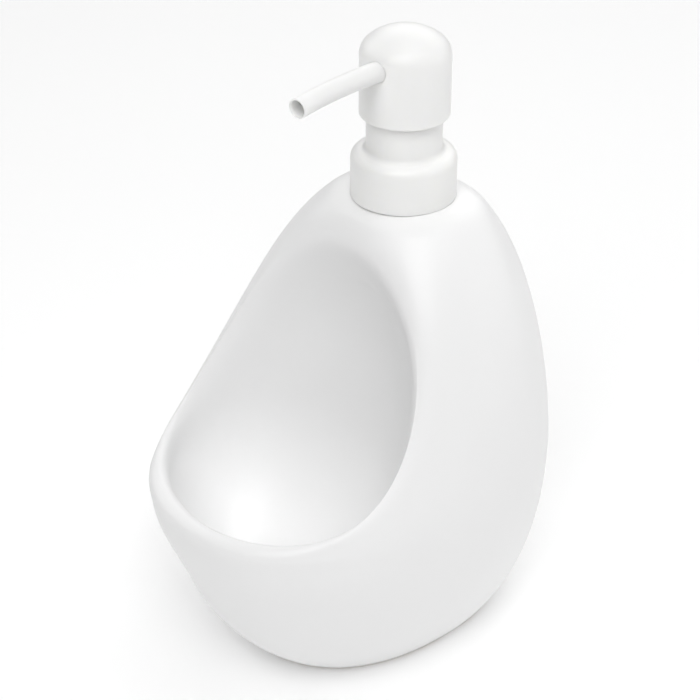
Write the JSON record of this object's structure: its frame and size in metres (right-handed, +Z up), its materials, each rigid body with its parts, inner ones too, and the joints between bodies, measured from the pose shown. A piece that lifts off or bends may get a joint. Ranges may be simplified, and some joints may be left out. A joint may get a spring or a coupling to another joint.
{
  "type": "soap pump caddy",
  "caption": "White ceramic egg-shaped soap dispenser with a scooped front holder for a sponge and a screw-on lotion pump on top.",
  "frame": {"origin": "on the surface that the caddy stands on, under the middle of the belly, which is the middle of the overall plan; the pump's axis is 24 mm behind it", "axes": "+Z up along the pump's axis, -Y towards the scooped front, +X to the right seen from the front"},
  "size_m": [0.1108, 0.136, 0.203],
  "materials": {
    "glaze": "glossy white glaze with a soft satin sheen",
    "pump_plastic": "smooth white moulded plastic, satin gloss",
    "hard_plastic": "plain white moulded plastic, matt",
    "clear_plastic": "milky translucent moulded plastic",
    "gasket_rubber": "soft pale foam rubber",
    "ball_steel": "ground stainless steel",
    "spring_steel": "drawn stainless steel wire"
  },
  "bodies": {
    "caddy": {"ceramic_body": "glaze", "neck_ring": "hard_plastic"},
    "pump": {"gasket": "gasket_rubber", "pump_housing": "clear_plastic", "stem_guide": "hard_plastic", "ball_cage": "hard_plastic", "inlet_ball": "ball_steel", "dip_tube": "clear_plastic", "spring": "spring_steel"},
    "collar": {"collar": "pump_plastic"},
    "plunger": {"stem": "pump_plastic", "piston": "clear_plastic", "piston_plug": "hard_plastic", "outlet_ball": "ball_steel"},
    "head": {"head_shell": "pump_plastic", "head_core": "hard_plastic", "spout": "pump_plastic"}
  },
  "joints": [
    {"name": "closure_rise", "type": "slide", "parent": "caddy", "child": "pump", "axis": [0, 0, 1], "range_m": [0, 0.00465]},
    {"name": "collar_turn", "type": "hinge", "parent": "pump", "child": "collar", "pos_m": [0, 0.024, 0.1485], "axis": [0, 0, 1], "range_deg": [0, 396]},
    {"name": "pump_press", "type": "slide", "parent": "pump", "child": "plunger", "axis": [0, 0, -1], "range_m": [0, 0.0105], "stiffness_N_per_m": 500, "springref_m": -0.004, "deforming": ["spring"]},
    {"name": "spout_swivel", "type": "hinge", "parent": "plunger", "child": "head", "pos_m": [0, 0.024, 0.1871], "axis": [0, 0, 1], "continuous": true}
  ],
  "couplings": [
    {"joint": "closure_rise", "follows": "collar_turn", "m_per_rad": 0.00067322}
  ]
}
